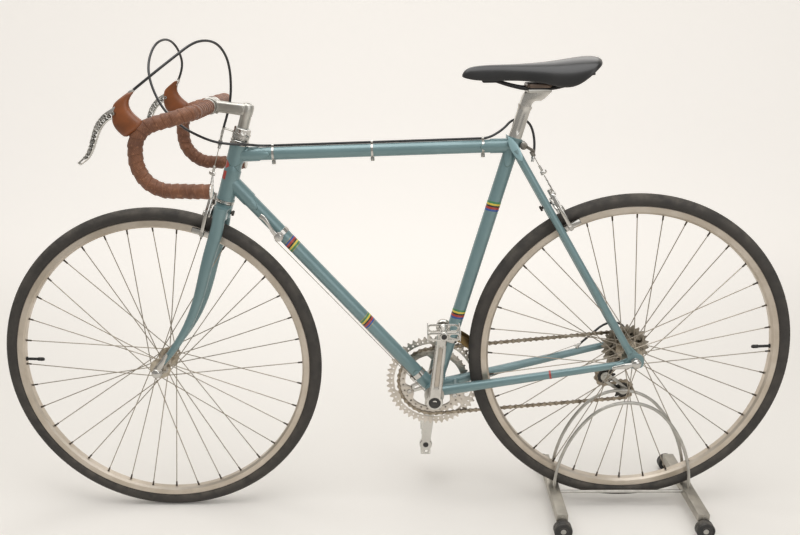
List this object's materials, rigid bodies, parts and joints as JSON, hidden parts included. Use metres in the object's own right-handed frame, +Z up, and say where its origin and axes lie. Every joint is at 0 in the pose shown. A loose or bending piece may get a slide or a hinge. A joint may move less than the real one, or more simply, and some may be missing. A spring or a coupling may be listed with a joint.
{
  "type": "road racing bicycle",
  "caption": "Lugged steel road racing bicycle with drop bars, centre-pull brakes and a lever-shifted derailleur, held upright by a wheeled display stand at its rear wheel.",
  "frame": {"origin": "on the floor, in the wheel plane, half way between the two tyres' far ends", "axes": "front towards -X, left side towards -Y, +Z up"},
  "size_m": [1.67, 0.388, 1.0069],
  "materials": {
    "frame_paint": "metallic blue-green paint, worn",
    "chrome": "bright plated",
    "alloy": "satin polished",
    "steel": "plain steel",
    "tape": "perforated brown tape",
    "hood_rubber": "caramel rubber",
    "saddle_cover": "smooth black",
    "tyre": "dark grey rubber",
    "rim_alloy": "dull silver",
    "chain_steel": "oiled, brownish",
    "pad_rubber": "black",
    "cable_housing": "black sleeve",
    "stand_steel": "grey, zinc-like",
    "roller_rubber": "black"
  },
  "bodies": {
    "frame": {"bottom_bracket_cups": "steel", "bottom_bracket_shell": "frame_paint", "cable_guides": "steel", "chain": "chain_steel", "chain_stays": "frame_paint", "down_tube": "frame_paint", "front_derailleur": "chrome", "gear_cables": "cable_housing", "head_lugs": "frame_paint", "head_tube": "frame_paint", "headset_cups": "chrome", "rear_axle": "steel", "rear_brake": "chrome", "rear_brake_cable": "cable_housing", "rear_brake_pads": "pad_rubber", "rear_cable_hanger": "steel", "rear_derailleur": "chrome", "rear_dropouts": "frame_paint", "saddle": "saddle_cover", "saddle_rails": "chrome", "seat_lug": "frame_paint", "seat_post": "alloy", "seat_stays": "frame_paint", "seat_tube": "frame_paint", "shift_levers": "alloy", "stand_hoops": "stand_steel", "stand_legs": "stand_steel", "stand_rollers": "roller_rubber", "stay_bridges": "frame_paint", "top_tube": "frame_paint", "top_tube_clips": "steel"},
    "steering": {"fork_crown": "frame_paint", "fork_blades": "frame_paint", "fork_ends": "frame_paint", "headset_nuts": "chrome", "stem": "alloy", "handlebar": "alloy", "bar_tape": "tape", "lever_hoods": "hood_rubber", "brake_levers": "alloy", "front_axle": "steel", "front_brake": "chrome", "front_brake_pads": "pad_rubber", "front_cable_hanger": "steel", "front_brake_cable": "cable_housing", "rear_brake_lever_cable": "cable_housing"},
    "front_wheel": {"front_tyre": "tyre", "front_rim": "rim_alloy", "front_hub_and_spokes": "alloy"},
    "rear_wheel": {"rear_tyre": "tyre", "rear_rim": "rim_alloy", "rear_hub_and_spokes": "alloy"},
    "freewheel": {"freewheel": "steel"},
    "crankset": {"left_crank": "alloy", "right_crank": "alloy", "crank_spindle": "steel", "chainrings": "alloy", "pedal_spindles": "steel"},
    "pedal_left": {"left_pedal": "steel"},
    "pedal_right": {"right_pedal": "steel"}
  },
  "joints": [
    {"name": "steering_turn", "type": "hinge", "parent": "frame", "child": "steering", "pos_m": [-0.32612, 0, 0.73646], "axis": [0.2974, 0, 0.9548], "range_deg": [-45, 45], "deforming": ["rear_brake_lever_cable"]},
    {"name": "front_wheel_spin", "type": "hinge", "parent": "steering", "child": "front_wheel", "pos_m": [-0.496, 0, 0.339], "axis": [0, 1, 0], "continuous": true},
    {"name": "rear_wheel_spin", "type": "hinge", "parent": "frame", "child": "rear_wheel", "pos_m": [0.496, 0, 0.359], "axis": [0, 1, 0], "continuous": true},
    {"name": "crank_spin", "type": "hinge", "parent": "frame", "child": "crankset", "pos_m": [0.0836, 0, 0.275], "axis": [0, 1, 0], "continuous": true},
    {"name": "freewheel_spin", "type": "hinge", "parent": "frame", "child": "freewheel", "pos_m": [0.496, 0, 0.359], "axis": [0, 1, 0], "continuous": true},
    {"name": "left_pedal_spin", "type": "hinge", "parent": "crankset", "child": "pedal_left", "pos_m": [0.10019, -0.13, 0.44419], "axis": [0, 1, 0], "continuous": true},
    {"name": "right_pedal_spin", "type": "hinge", "parent": "crankset", "child": "pedal_right", "pos_m": [0.06701, 0.13, 0.10581], "axis": [0, 1, 0], "continuous": true}
  ],
  "couplings": [
    {"joint": "freewheel_spin", "follows": "crank_spin", "ratio": 2.7143}
  ]
}
